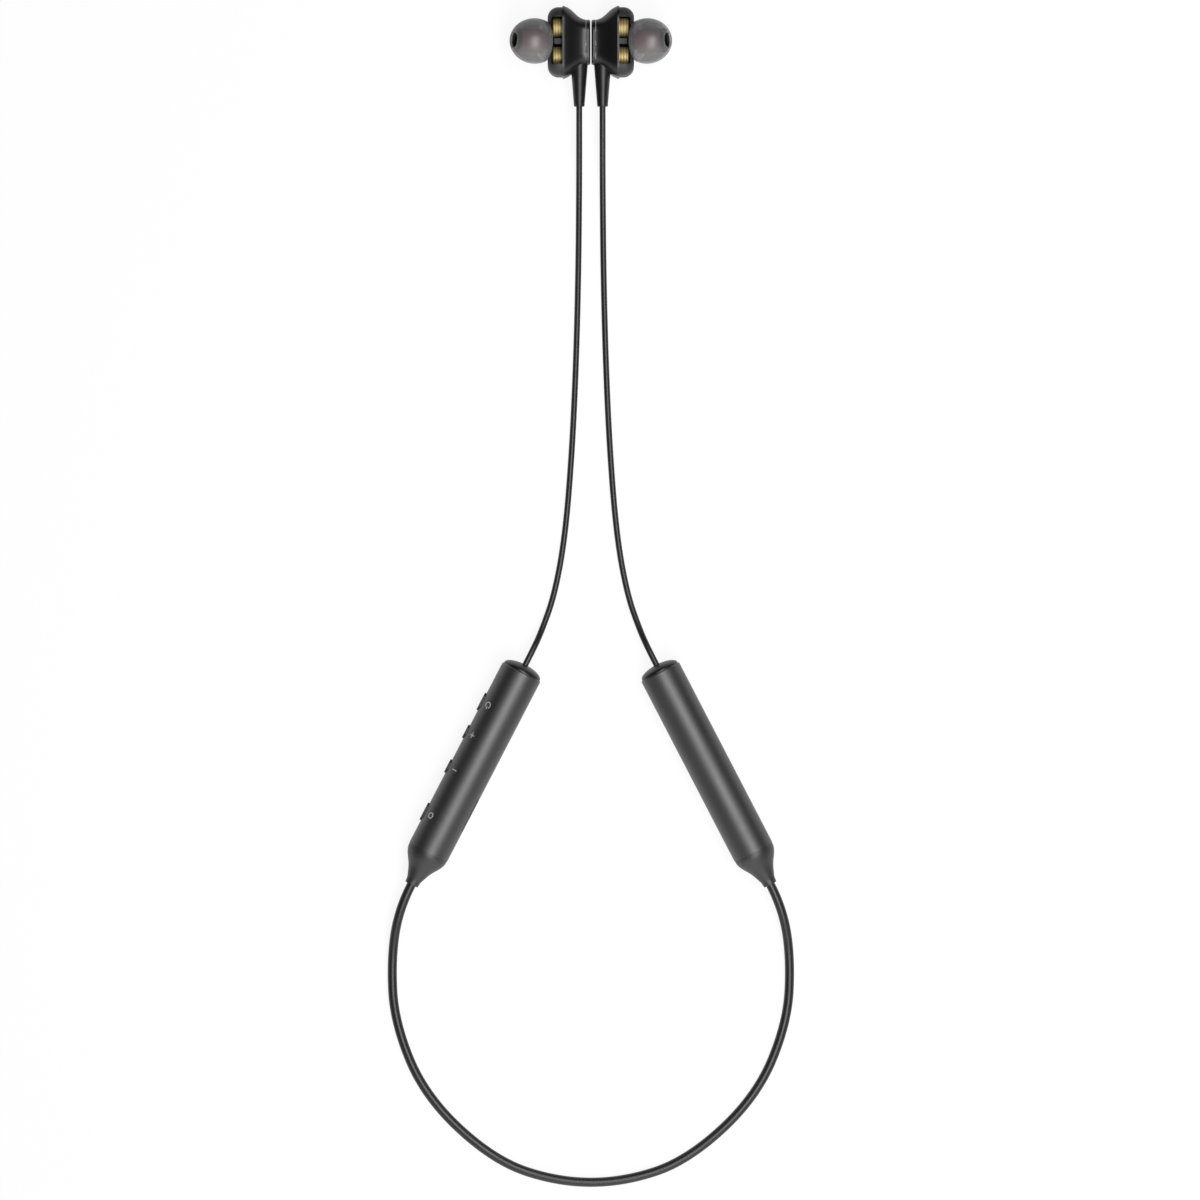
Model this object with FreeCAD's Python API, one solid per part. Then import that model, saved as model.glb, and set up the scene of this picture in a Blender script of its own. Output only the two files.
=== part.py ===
import FreeCAD, Part

import math
import os

from FreeCAD import Placement, Rotation, Vector

# Neckband earphones, laid flat on their back as when they are put down and seen from above.
# Two round barrels hang at the ends of a neck cable.  The left barrel holds the buttons and
# the electronics, the right barrel holds the battery.  A thin cable runs from the top of each
# barrel to an earbud, and the two earbuds hold together back to back by their magnets.
#
# Frame, in millimetres: +Z is up, the surface that the set lies on is z = 0, +Y points from
# the neck loop to the earbuds, and +X points to the right.  The origin is the middle of the
# footprint of the barrels and earbuds.
#
# Every piece is built for the right-hand side, and the left-hand ones are mirrored in x = 0.
# A barrel's own axes: X outwards to the button side, Y up, Z from the rim to the neck end.
# An earbud's own axes: X from the magnet face to the ear, Y away from the cable, Z up.

# ---- Where the main pieces lie ----
barrel_lean = 27.4              # degrees between a barrel and the centre line
rim_across = 18.7               # centre of a barrel's rim from the centre line
rim_down = 60.65                # centre of a barrel's rim below the origin
bud_up = 109.27                 # centre of an earbud above the origin
bud_face_gap = 0.3              # between the two magnet faces

# ---- Clearances ----
seat_gap = 0.05                 # all round a glued or snapped seat
flush_gap = 0.05                # between flat faces that stop just short of each other
small_fit = 0.03                # all round a small piece in its hole

# ---- Barrel ----
barrel_radius = 5.75
barrel_length = 54.7
barrel_wall = 0.9
rim_round = 0.25

# ---- End cap, where the earbud's cable goes in ----
cap_radius = 5.4
cap_land = 0.25
cap_dome = 1.95
spigot_depth = 3.0
spigot_wall = 0.8
cable_mouth_radius = 1.35
cable_mouth_depth = 0.5

# ---- Neck boot: its taper as shares of the way along and of the radius still to lose ----
boot_radius = 5.65
boot_land = 0.4
boot_length = 9.95
boot_tip_radius = 1.87
boot_tip_round = 0.12
boot_taper = [(0.15, 0.92), (0.27, 0.77), (0.40, 0.555), (0.59, 0.29), (0.78, 0.10)]

# ---- Buttons: distance from the rim or from the neck end, and length ----
buttons_from_rim = {"power_button": (12.1, 5.2), "next_button": (21.2, 4.0)}
buttons_from_neck_end = {"previous_button": (23.0, 4.0), "mode_button": (9.2, 5.2)}
button_width = 2.8
button_stands_proud = 0.45
button_travel = 0.3
button_gap = 0.1                # all round, in its slot
button_edge_round = 0.2
button_flange_lip = 0.5
button_flange_depth = 0.7
button_flange_gap = 0.3         # to the inside of the barrel
button_stem_radius = 0.7

# ---- Control board ----
board_face = 1.4                # outer face, from the barrel's axis
board_thickness = 0.8
board_width = 8.2
board_start = 3.6
board_end_gap = 4.7             # to the barrel's neck end
board_corner = 0.6
rail_height = 0.6
rail_overlap = 0.45             # how far a rail reaches over the board's edge
wire_radius = 0.25
wire_spacing = 1.3
wire_joint = 1.2                # length of a wire that lies on a board

# ---- What the control board carries ----
switch_length = 3.0
switch_width = 2.6
switch_height = 0.9
switch_plunger_radius = 0.8
switch_plunger_height = 0.3
chip_size = 5.0
chip_height = 0.9
chip_offset = 0.2               # from the middle of the board
antenna_place = 8.0
antenna_length = 6.0
antenna_width = 2.0
antenna_height = 1.2
components_by_chip = [          # along from the chip, across, length, width, height
    (-12.0, 1.6, 2.0, 1.6, 0.7),
    (-11.8, -1.5, 1.6, 0.8, 0.6),
    (-6.2, 0.0, 2.5, 2.0, 0.8),
    (5.2, 1.7, 1.6, 1.0, 0.6),
    (5.2, -1.2, 2.2, 2.2, 1.0),
]
last_component = (-2.4, 0.0, 1.6, 0.8, 0.6)  # the same, along from the board's neck end
microphone_from_neck_end = 16.6
microphone_length = 3.5
microphone_width = 2.65
microphone_height = 1.0
sound_hole_radius = 0.5
gasket_radius = 1.2
lamp_place = 6.4
lamp_height = 0.6
lamp_length = 1.6
lamp_width = 0.8
light_pipe_radius = 0.6

# ---- Charging port and its cover, on the barrel's inner side ----
port_from_neck_end = 14.1
port_length = 7.5               # outside of the metal shell, along the barrel
port_height = 2.45
port_sheet = 0.3
port_corner = 0.55
port_mouth_depth = 0.85         # below the barrel's skin
tongue_length = 5.0
tongue_thickness = 0.55
tongue_short_of_mouth = 1.5
bezel_depth = 1.0
cover_length = 9.4
cover_width = 4.2
cover_gap = 0.1                 # all round, in its window
cover_end_gap = 0.15            # at the free end, which swings out
cover_plug_length = 6.0
cover_plug_width = 1.4
cover_plug_depth = 1.1
nail_notch_radius = 1.3
nail_notch_depth = 0.35
nail_notch_drop = 0.4           # below the barrel's middle, out of sight from above

# ---- Battery and protection board, in the right barrel ----
battery_radius = 4.2
battery_start = 5.2
battery_end_gap = 14.5          # to the barrel's neck end
battery_crimp = 0.25
battery_crimp_place = 1.6
battery_crimp_width = 0.8
terminal_radius = 1.3
terminal_height = 0.4
pad_inset = 4.5                 # from each end of the cell
pad_angle = 50.0
guard_thickness = 0.8
guard_width = 7.0
guard_length = 8.0
guard_gap = 1.6                 # battery to protection board
lead_radius = 0.35
lead_spacing = 3.4
through_wire_inset = 3.5        # from the axis, where a wire leaves the cap and the boot
through_wire_straight = 2.0     # from the cap or the boot to the slanted stretch
through_wire_slant = 1.7        # length of the slanted stretch along the barrel

# ---- Earbud: rear shell, as distance from the magnet face, half height, half depth, corner ----
rear_shell_outline = [
    (1.2, 6.05, 3.60, 3.00),
    (2.6, 6.50, 3.88, 3.10),
    (3.9, 7.45, 4.45, 3.30),
    (5.1, 8.52, 5.12, 3.50),
    (6.1, 9.15, 5.70, 3.60),
    (7.0, 9.50, 6.10, 3.60),
]
rim_half_height = 9.55
rim_half_depth = 6.2
rim_corner = 3.6
rim_front = 7.5                 # front of the rim, from the magnet face
shell_wall = 1.0
back_cap_edge = 0.5
back_cap_skin = 0.7
magnet_radius = 2.9
magnet_thickness = 1.5

# ---- Earbud: front housing and its window ----
front_step = 0.35               # how far the front housing lies inside the rim
front_depth = 4.0
front_round = 2.9
front_wall = 0.95
pocket_round = 1.9
window_half_height = 6.36
window_depth = 2.95
window_corner = 0.45
window_floor = 2.6              # where the cut for the window starts, above mid-depth

# ---- Earbud: nozzle, from its root on the front housing ----
nozzle_tilt = 27.0              # degrees, upwards
nozzle_rise = 1.8               # of the root above mid-depth
nozzle_length = 5.4
nozzle_radius = 2.2
nozzle_lip_radius = 2.5
nozzle_lip_length = 0.9
nozzle_lip_bevel = 0.2
nozzle_bore_radius = 1.65
mesh_thickness = 0.3
mesh_ledge = 0.25

# ---- Earbud: drivers on their carrier ----
carrier_thickness = 0.9
driver_radius = 2.6
driver_length = 2.65
driver_spacing = 7.8
driver_rise = 1.1               # above mid-depth
driver_groove = 0.15
driver_groove_width = 0.25
driver_groove_places = (0.55, 1.75)
driver_front_bevel = 0.3
driver_port_radius = 0.9
driver_port_depth = 0.5
driver_tail_radius = 1.9
driver_tail_length = 1.6
spine_half_height = 0.75
spine_depth = 2.2
spine_bottom = 2.0              # below mid-depth
spine_top = 3.6

# ---- Ear tip, about the nozzle's axis and from the nozzle's root ----
tip_radius = 6.1
tip_middle = 3.95               # widest place
tip_nose = 6.85                 # half length of the oval ahead of the widest place
tip_tail = 7.0                  # and of the one behind it
tip_mouth_radius = 1.65
tip_lip_radius = 2.3
tip_lip_round = 0.25
skirt_reach = 2.8               # behind the widest place
skirt_thickness = 0.5
core_radius = 3.25
core_start = 1.75
core_bore_gap = 0.06            # round the nozzle's lip

# ---- Strain relief of an earbud's cable ----
relief_place = 3.0              # its axis, from the magnet face
relief_top = 4.7                # below the earbud's centre
relief_end = 17.3
relief_top_radius = 2.42
relief_end_radius = 1.43
relief_end_round = 0.12

# ---- Cables: routes of the right half, between the straight stretches at their ends ----
neck_cable_diameter = 2.5
neck_cable_straight = 7.2       # out of the boot
bud_cable_diameter = 1.65
relief_straight = 7.6           # out of the strain relief
cap_straight = 5.2              # out of the end cap
bud_cable_route = [
    (3.18, 71.0, 1.1),
    (3.4, 47.0, 0.9),
    (4.05, 22.0, 0.92),
    (5.15, -1.5, 0.9),
    (7.0, -24.2, 0.93),
    (9.85, -39.8, 1.0),
    (13.2, -49.3, 2.4),
]
neck_cable_route = [
    (54.1, -138.0, 1.4),
    (53.3, -155.6, 1.3),
    (44.9, -175.9, 1.32),
    (26.2, -193.2, 1.3),
    (8.6, -199.0, 1.34),
]

# ---- Worked-out sizes ----
barrel_bore = barrel_radius - barrel_wall
board_back = board_face - board_thickness
board_end = barrel_length - board_end_gap
chip_place = (board_start + board_end) / 2 + chip_offset
microphone_place = barrel_length - microphone_from_neck_end
port_place = barrel_length - port_from_neck_end
button_places = dict(buttons_from_rim)
for button_name, (from_neck_end, cap_length) in buttons_from_neck_end.items():
    button_places[button_name] = (barrel_length - from_neck_end, cap_length)
switch_top = board_face + switch_height + switch_plunger_height
spigot_radius = barrel_bore - seat_gap
boot_end = barrel_length + boot_length
port_mouth = barrel_radius - port_mouth_depth
cover_floor = port_mouth + flush_gap
battery_end = barrel_length - battery_end_gap
guard_start = battery_end + guard_gap
guard_end = guard_start + guard_length
front_end = rim_front + front_depth
carrier_back = rim_front - carrier_thickness
carrier_front = rim_front - flush_gap
back_cap_depth = rear_shell_outline[0][0] - flush_gap

right = 1
left = -1
parts = {}


# ---- Helpers: places ----
def moved(shape, placement):
    copy = shape.copy()
    copy.Placement = placement.multiply(copy.Placement)
    return copy


def mirrored(shape):
    return shape.mirror(Vector(0, 0, 0), Vector(1, 0, 0))


def barrel_placement():
    """Places a right-hand barrel's own axes in the frame."""
    lean = math.radians(barrel_lean)
    outwards = Vector(math.cos(lean), math.sin(lean), 0)
    along = Vector(math.sin(lean), -math.cos(lean), 0)
    axes = Rotation(outwards, Vector(0, 0, 1), along, "ZXY")
    return Placement(Vector(rim_across, -rim_down, barrel_radius), axes)


def bud_placement():
    """Places a right-hand earbud's own axes in the frame."""
    return Placement(Vector(bud_face_gap / 2, bud_up, rim_half_depth), Rotation())


def nozzle_placement():
    """Places the nozzle's own axes, X along it from its root, on a right-hand earbud."""
    root = Vector(front_end, 0, nozzle_rise)
    return Placement(root, Rotation(Vector(0, 1, 0), -nozzle_tilt))


def add(name, shape, placement, side):
    placed = moved(shape, placement)
    parts[name] = mirrored(placed) if side == left else placed


# ---- Helpers: shapes ----
def lines(points):
    return [Part.LineSegment(a, b).toShape() for a, b in zip(points, points[1:])]


def turned(outline, axis):
    """A solid turned from the edges of a closed outline, about an axis through the origin."""
    return Part.Face(Part.Wire(outline)).revolve(Vector(0, 0, 0), axis, 360)


def turned_about_z(points):
    """A solid turned about Z from the corners of its outline, as radius and height."""
    corners = [Vector(radius, 0, z) for radius, z in points]
    return turned(lines(corners + corners[:1]), Vector(0, 0, 1))


def turned_about_x(points):
    """A solid turned about X from the corners of its outline, as distance and radius."""
    corners = [Vector(x, radius, 0) for x, radius in points]
    return turned(lines(corners + corners[:1]), Vector(1, 0, 0))


def block(x_ends, y_ends, z_ends):
    corner = Vector(x_ends[0], y_ends[0], z_ends[0])
    return Part.makeBox(x_ends[1] - x_ends[0], y_ends[1] - y_ends[0], z_ends[1] - z_ends[0], corner)


def centred(middle, length):
    return (middle - length / 2, middle + length / 2)


def rod(radius, start, end):
    return Part.makeCylinder(radius, (end - start).Length, start, end - start)


def flat_edges(shape, axis, place):
    """The edges that lie in one plane across an axis."""
    chosen = []
    for edge in shape.Edges:
        box = edge.BoundBox
        low, high = {"x": (box.XMin, box.XMax), "z": (box.ZMin, box.ZMax)}[axis]
        if abs(low - place) < 1e-4 and abs(high - place) < 1e-4:
            chosen.append(edge)
    return chosen


def slot_prism(length, width, x_ends, z_middle):
    """A prism along X whose outline has straight sides along Z and round ends."""
    half = width / 2
    reach = length / 2 - half
    x = x_ends[0]
    places = ((half, -reach), (half, reach), (-half, reach), (-half, -reach))
    corners = [Vector(x, y, z_middle + z) for y, z in places]
    outline = [
        Part.LineSegment(corners[0], corners[1]).toShape(),
        Part.Arc(corners[1], Vector(x, 0, z_middle + length / 2), corners[2]).toShape(),
        Part.LineSegment(corners[2], corners[3]).toShape(),
        Part.Arc(corners[3], Vector(x, 0, z_middle - length / 2), corners[0]).toShape(),
    ]
    return Part.Face(Part.Wire(outline)).extrude(Vector(x_ends[1] - x, 0, 0))


def rounded_outline(x, half_height, half_depth, corner):
    """A closed outline across X: an upright rectangle with round corners."""
    y, z = half_height - corner, half_depth - corner
    edges = []
    for centre_y, centre_z, first in ((y, z, 0), (-y, z, 90), (-y, -z, 180), (y, -z, 270)):
        turns = [math.radians(first + turn) for turn in (0, 45, 90)]
        arc = [Vector(x, centre_y + corner * math.cos(a), centre_z + corner * math.sin(a)) for a in turns]
        if edges:
            edges.append(Part.LineSegment(edges[-1].EndPoint, arc[0]))
        edges.append(Part.Arc(*arc))
    edges.append(Part.LineSegment(edges[-1].EndPoint, edges[0].StartPoint))
    return Part.Wire([edge.toShape() for edge in edges])


def rounded_plate(x_ends, half_height, half_depth, corner):
    face = Part.Face(rounded_outline(x_ends[0], half_height, half_depth, corner))
    return face.extrude(Vector(x_ends[1] - x_ends[0], 0, 0))


def cord(name, points, diameter):
    """A round cord along straight runs, joined by arcs as large as the runs allow."""
    edges = []
    radii = []
    start = points[0]
    for before, corner, after in zip(points, points[1:], points[2:]):
        arriving = (corner - before).normalize()
        leaving = (after - corner).normalize()
        half_turn = arriving.getAngle(leaving) / 2
        reach = 0.45 * min((corner - before).Length, (after - corner).Length)
        radius = reach / math.tan(half_turn)
        inwards = (leaving - arriving).normalize()
        middle = corner + inwards * (radius / math.cos(half_turn) - radius)
        edges.append(Part.LineSegment(start, corner - arriving * reach).toShape())
        start = corner + leaving * reach
        edges.append(Part.Arc(corner - arriving * reach, middle, start).toShape())
        radii.append(round(radius, 1))
    edges.append(Part.LineSegment(start, points[-1]).toShape())
    path = Part.Wire(edges)
    section = Part.Wire(Part.makeCircle(diameter / 2, points[0], points[1] - points[0]))
    solid = path.makePipeShell([section], True, False)
    share = solid.Volume / (math.pi * diameter ** 2 / 4 * path.Length)
    print(name, "length", round(path.Length, 1), "radii", radii, "volume share", round(share, 4))
    return solid


# ---- Barrel and what closes its two ends ----
def barrel_tube():
    tube = turned_about_z([
        (barrel_bore, 0),
        (barrel_radius, 0),
        (barrel_radius, barrel_length),
        (barrel_bore, barrel_length),
    ])
    rim = [edge for edge in flat_edges(tube, "z", 0) if edge.Curve.Radius > barrel_bore + barrel_wall / 2]
    return tube.makeFillet(rim_round, rim)


def board_rails():
    """Four ribs along the bore that hold the board by its two long edges."""
    inner = board_width / 2 - rail_overlap
    bar = Part.makeCylinder(barrel_bore + barrel_wall / 2, barrel_length)
    rails = []
    for y_ends in ((inner, barrel_radius), (-barrel_radius, -inner)):
        for x in (board_face + flush_gap, board_back - flush_gap - rail_height):
            rib = block((x, x + rail_height), y_ends, (board_start, board_end))
            rails.append(rib.common(bar))
    return rails


def cover_window(shrink):
    """The window for the port's cover, through the barrel's inner side."""
    half_width = cover_width / 2 + cover_gap - shrink
    free_end = port_place - cover_length / 2 - cover_end_gap + shrink
    hinge_end = port_place + cover_length / 2 + cover_gap - shrink
    through_wall = (-barrel_radius - 1, -port_mouth + bezel_depth)
    return block(through_wall, (-half_width, half_width), (free_end, hinge_end))


def control_barrel():
    tube = barrel_tube().fuse(board_rails())
    through_wall = (board_face + rail_height + 1, barrel_radius + 1)
    slot_width = button_width + 2 * button_gap
    for z_middle, length in button_places.values():
        tube = tube.cut(slot_prism(length + 2 * button_gap, slot_width, through_wall, z_middle))
    for radius, z in ((sound_hole_radius, microphone_place), (light_pipe_radius + small_fit, lamp_place)):
        tube = tube.cut(rod(radius, Vector(through_wall[0], 0, z), Vector(through_wall[1], 0, z)))
    return tube.cut(cover_window(0)).removeSplitter()


def cap_dome_arc():
    """Half outline of the end cap's dome, from its land to the cable's mouth."""
    centre = Vector(0, 0, -cap_land)
    oval = Part.Ellipse(Vector(cap_radius, 0, -cap_land), Vector(0, 0, -cap_land - cap_dome), centre)
    return Part.ArcOfEllipse(oval, 0, math.acos(cable_mouth_radius / cap_radius))


def cable_mouth_floor():
    return cap_dome_arc().EndPoint.z + cable_mouth_depth


def end_cap():
    dome = cap_dome_arc()
    inside = spigot_radius - spigot_wall
    rest = [
        dome.EndPoint,
        Vector(cable_mouth_radius, 0, cable_mouth_floor()),
        Vector(0, 0, cable_mouth_floor()),
        Vector(0, 0, spigot_wall),
        Vector(inside, 0, spigot_wall),
        Vector(inside, 0, spigot_depth),
        Vector(spigot_radius, 0, spigot_depth),
        Vector(spigot_radius, 0, 0),
        Vector(cap_radius, 0, 0),
        dome.StartPoint,
    ]
    return turned([dome.toShape()] + lines(rest), Vector(0, 0, 1))


def neck_boot():
    """A soft boot that tapers in an S from the barrel to the cable, with a spigot in the bore."""
    def place(along, remaining):
        z = barrel_length + boot_land + along * (boot_length - boot_land)
        return Vector(boot_tip_radius + remaining * (boot_radius - boot_tip_radius), 0, z)

    taper = Part.BSplineCurve()
    knots = [place(0, 1)] + [place(*share) for share in boot_taper] + [place(1, 0)]
    taper.interpolate(Points=knots, InitialTangent=Vector(0, 0, 1), FinalTangent=Vector(-0.05, 0, 1))
    inside = spigot_radius - spigot_wall
    corners = [(0, boot_end), (0, barrel_length - spigot_wall)]
    corners += [(inside, barrel_length - spigot_wall), (inside, barrel_length - spigot_depth)]
    corners += [(spigot_radius, barrel_length - spigot_depth), (spigot_radius, barrel_length)]
    corners += [(boot_radius, barrel_length), (boot_radius, barrel_length + boot_land)]
    rest = [place(1, 0)] + [Vector(radius, 0, z) for radius, z in corners]
    boot = turned([taper.toShape()] + lines(rest), Vector(0, 0, 1))
    return boot.makeFillet(boot_tip_round, flat_edges(boot, "z", boot_end))


def add_barrel_ends(side_name, side):
    add(f"{side_name}_end_cap", end_cap(), barrel_placement(), side)
    add(f"{side_name}_neck_boot", neck_boot(), barrel_placement(), side)


# ---- Buttons ----
def button(z_middle, length):
    """A slot-shaped cap that follows the barrel's round, with a flange and a stem inside."""
    top = barrel_radius + button_stands_proud
    flange_top = barrel_bore - button_flange_gap
    flange_floor = flange_top - button_flange_depth
    lip = 2 * button_flange_lip
    cap = slot_prism(length, button_width, (flange_floor, top + 1), z_middle)
    cap = cap.common(Part.makeCylinder(top, barrel_length))
    top_edges = [edge for edge in cap.Edges if edge.BoundBox.XMin > barrel_radius]
    cap = cap.makeFillet(button_edge_round, top_edges)
    flange = slot_prism(length + lip, button_width + lip, (flange_floor, top), z_middle)
    flange = flange.common(Part.makeCylinder(flange_top, barrel_length))
    stem_end = switch_top + button_travel + flush_gap
    stem = rod(button_stem_radius, Vector(stem_end, 0, z_middle), Vector(flange_top, 0, z_middle))
    return cap.fuse([flange, stem]).removeSplitter()


def tact_switches():
    switches = []
    for z_middle, _ in button_places.values():
        body_top = board_face + switch_height
        body = block((board_face, body_top), centred(0, switch_width), centred(z_middle, switch_length))
        plunger = rod(switch_plunger_radius, Vector(body_top, 0, z_middle), Vector(switch_top, 0, z_middle))
        switches.append(body.fuse(plunger))
    return Part.makeCompound(switches)


# ---- Control board and what it carries ----
def control_board():
    board = block((board_back, board_face), centred(0, board_width), (board_start, board_end))
    corners = [edge for edge in board.Edges if edge.BoundBox.XLength > board_thickness / 2]
    return board.makeFillet(board_corner, corners)


def on_board_face(z, y, length, width, height):
    return block((board_face, board_face + height), centred(y, width), centred(z, length))


def on_board_back(z, y, length, width, height):
    return block((board_back - height, board_back), centred(y, width), centred(z, length))


def microphone_gasket():
    """A soft tube that carries sound from the hole in the barrel to the microphone."""
    start = Vector(board_face + microphone_height, 0, microphone_place)
    end = Vector(barrel_radius, 0, microphone_place)
    tube = rod(gasket_radius, start, end).cut(rod(sound_hole_radius, start, end))
    return tube.common(Part.makeCylinder(barrel_bore - flush_gap, barrel_length))


def light_pipe():
    start = Vector(board_face + lamp_height, 0, lamp_place)
    pipe = rod(light_pipe_radius, start, Vector(barrel_radius + 1, 0, lamp_place))
    return pipe.common(Part.makeCylinder(barrel_radius, barrel_length))


def board_wires():
    """Wires from the cap's cable and from the neck cable to the two ends of the board."""
    x = board_face + wire_radius
    spans = [(spigot_wall, board_start + wire_joint), (board_end - wire_joint, barrel_length - spigot_wall)]
    wires = []
    for z_start, z_end in spans:
        for y in (-wire_spacing, 0, wire_spacing):
            wires.append(rod(wire_radius, Vector(x, y, z_start), Vector(x, y, z_end)))
    return Part.makeCompound(wires)


# ---- Charging port and its cover ----
def port_prism(inset, x_ends):
    """The port's outline, with two cut corners, drawn in by the inset and run along X."""
    half_length = port_length / 2 - inset
    half_height = port_height / 2 - inset
    cut = port_corner
    outline = [
        (half_height, -half_length), (half_height, half_length),
        (cut - half_height, half_length), (-half_height, half_length - cut),
        (-half_height, cut - half_length), (cut - half_height, -half_length),
    ]
    corners = [Vector(x_ends[0], y, port_place + z) for y, z in outline]
    face = Part.Face(Part.Wire(lines(corners + corners[:1])))
    return face.extrude(Vector(x_ends[1] - x_ends[0], 0, 0))


def charge_port():
    shell = port_prism(0, (-port_mouth, board_back))
    return shell.cut(port_prism(port_sheet, (-port_mouth, board_back - port_sheet)))


def charge_port_tongue():
    x_ends = (-port_mouth + tongue_short_of_mouth, board_back - port_sheet)
    return block(x_ends, centred(0, tongue_thickness), centred(port_place, tongue_length))


def port_bezel():
    """A frame round the port that fills the bottom of the cover's window."""
    frame = cover_window(small_fit)
    outside = block((-2 * barrel_radius, -port_mouth), (-barrel_radius, barrel_radius), (0, barrel_length))
    hole = port_prism(-small_fit, (-2 * barrel_radius, 0))
    return frame.cut(outside).cut(hole)


def port_cover():
    """A cover flush with the barrel's skin, with a plug for the port and a notch for a nail."""
    outside = (-barrel_radius - 1, -cover_floor)
    cover = block(outside, centred(0, cover_width), centred(port_place, cover_length))
    cover = cover.common(Part.makeCylinder(barrel_radius, barrel_length))
    plug_x = (-cover_floor, -cover_floor + cover_plug_depth)
    plug = block(plug_x, centred(0, cover_plug_width), centred(port_place, cover_plug_length))
    notch_x = -barrel_radius - nail_notch_radius + nail_notch_depth
    free_end = port_place - cover_length / 2
    notch_ends = [Vector(notch_x, y, free_end) for y in (-cover_width, -nail_notch_drop)]
    notch = rod(nail_notch_radius, *notch_ends)
    return cover.fuse(plug).cut(notch).removeSplitter()


def microphone():
    return on_board_face(
        microphone_place, 0, microphone_length, microphone_width, microphone_height
    )


def add_control_pieces():
    """Everything in the left barrel but its cap and boot."""
    components = [on_board_back(chip_place + along, *rest) for along, *rest in components_by_chip]
    components.append(on_board_back(board_end + last_component[0], *last_component[1:]))
    pieces = {
        "left_barrel": control_barrel(),
        "tact_switches": tact_switches(),
        "control_board": control_board(),
        "radio_chip": on_board_back(chip_place, 0, chip_size, chip_size, chip_height),
        "antenna": on_board_back(antenna_place, 0, antenna_length, antenna_width, antenna_height),
        "board_components": Part.makeCompound(components),
        "microphone": microphone(),
        "microphone_gasket": microphone_gasket(),
        "status_lamp": on_board_face(lamp_place, 0, lamp_length, lamp_width, lamp_height),
        "light_pipe": light_pipe(),
        "board_wires": board_wires(),
        "charge_port": charge_port(),
        "charge_port_tongue": charge_port_tongue(),
        "port_bezel": port_bezel(),
        "port_cover": port_cover(),
    }
    for name, (z_middle, length) in button_places.items():
        pieces[name] = button(z_middle, length)
    for name, shape in pieces.items():
        add(name, shape, barrel_placement(), left)


# ---- Battery and what goes with it ----
def battery_cell():
    crimp_start = battery_end - battery_crimp_place - battery_crimp_width
    crimp_end = battery_end - battery_crimp_place
    groove = battery_radius - battery_crimp
    return turned_about_z([
        (0, battery_start), (battery_radius, battery_start),
        (battery_radius, crimp_start), (groove, crimp_start),
        (groove, crimp_end), (battery_radius, crimp_end),
        (battery_radius, battery_end), (terminal_radius, battery_end),
        (terminal_radius, battery_end + terminal_height), (0, battery_end + terminal_height),
    ])


def battery_pads():
    """Two foam strips that hold the cell in the bore, above and below it."""
    start = Vector(0, 0, battery_start + pad_inset)
    pad_length = battery_end - battery_start - 2 * pad_inset
    pads = []
    for middle in (90, 270):
        place = Placement(start, Rotation(Vector(0, 0, 1), middle - pad_angle / 2))
        wide = Part.makeCylinder(barrel_bore - flush_gap, pad_length, Vector(), Vector(0, 0, 1), pad_angle)
        narrow = Part.makeCylinder(battery_radius, pad_length)
        pads.append(moved(wide.cut(narrow), place))
    return Part.makeCompound(pads)


def battery_leads():
    """Leads from the cell to the protection board, and on from it to the neck cable."""
    x = guard_thickness / 2 + lead_radius
    spans = [(battery_end, guard_start + wire_joint), (guard_end - wire_joint, barrel_length - spigot_wall)]
    leads = []
    for z_start, z_end in spans:
        for y in centred(0, lead_spacing):
            leads.append(rod(lead_radius, Vector(x, y, z_start), Vector(x, y, z_end)))
    return Part.makeCompound(leads)


def through_wires():
    """The right earbud's two wires, which pass beside the cell on their way to the left."""
    beside = (battery_radius + barrel_bore) / 2
    foot = barrel_length - spigot_wall
    wires = []
    for way in (1, -1):
        route = [
            (through_wire_inset, spigot_wall),
            (through_wire_inset, spigot_wall + through_wire_straight),
            (beside, spigot_wall + through_wire_straight + through_wire_slant),
            (beside, foot - through_wire_straight - through_wire_slant),
            (through_wire_inset, foot - through_wire_straight),
            (through_wire_inset, foot),
        ]
        points = [Vector(way * x, 0, z) for x, z in route]
        wires.append(cord("through wire", points, 2 * wire_radius))
    return Part.makeCompound(wires)


def add_battery_pieces():
    """Everything in the right barrel but its cap and boot."""
    guard = block(centred(0, guard_thickness), centred(0, guard_width), (guard_start, guard_end))
    pieces = {
        "right_barrel": barrel_tube(),
        "battery_cell": battery_cell(),
        "battery_pads": battery_pads(),
        "protection_board": guard,
        "battery_leads": battery_leads(),
        "through_wires": through_wires(),
    }
    for name, shape in pieces.items():
        add(name, shape, barrel_placement(), right)


# ---- Earbud: rear shell, back cap and magnet ----
def relief_cone(gap):
    """The strain relief's taper, as wide as it is or wider by the gap, below the earbud."""
    top = relief_top_radius + gap
    end = relief_end_radius + gap
    start = Vector(relief_place, -relief_top, 0)
    return Part.makeCone(top, end, relief_end - relief_top, start, Vector(0, -1, 0))


def strain_relief():
    cone = relief_cone(0)
    end = [edge for edge in cone.Edges if edge.BoundBox.YMax < -relief_end + 1e-4]
    return cone.makeFillet(relief_end_round, end)


def rim_outline(inset):
    """Half height, half depth and corner of the rim, drawn in by the inset."""
    return rim_half_height - inset, rim_half_depth - inset, rim_corner - inset


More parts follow.
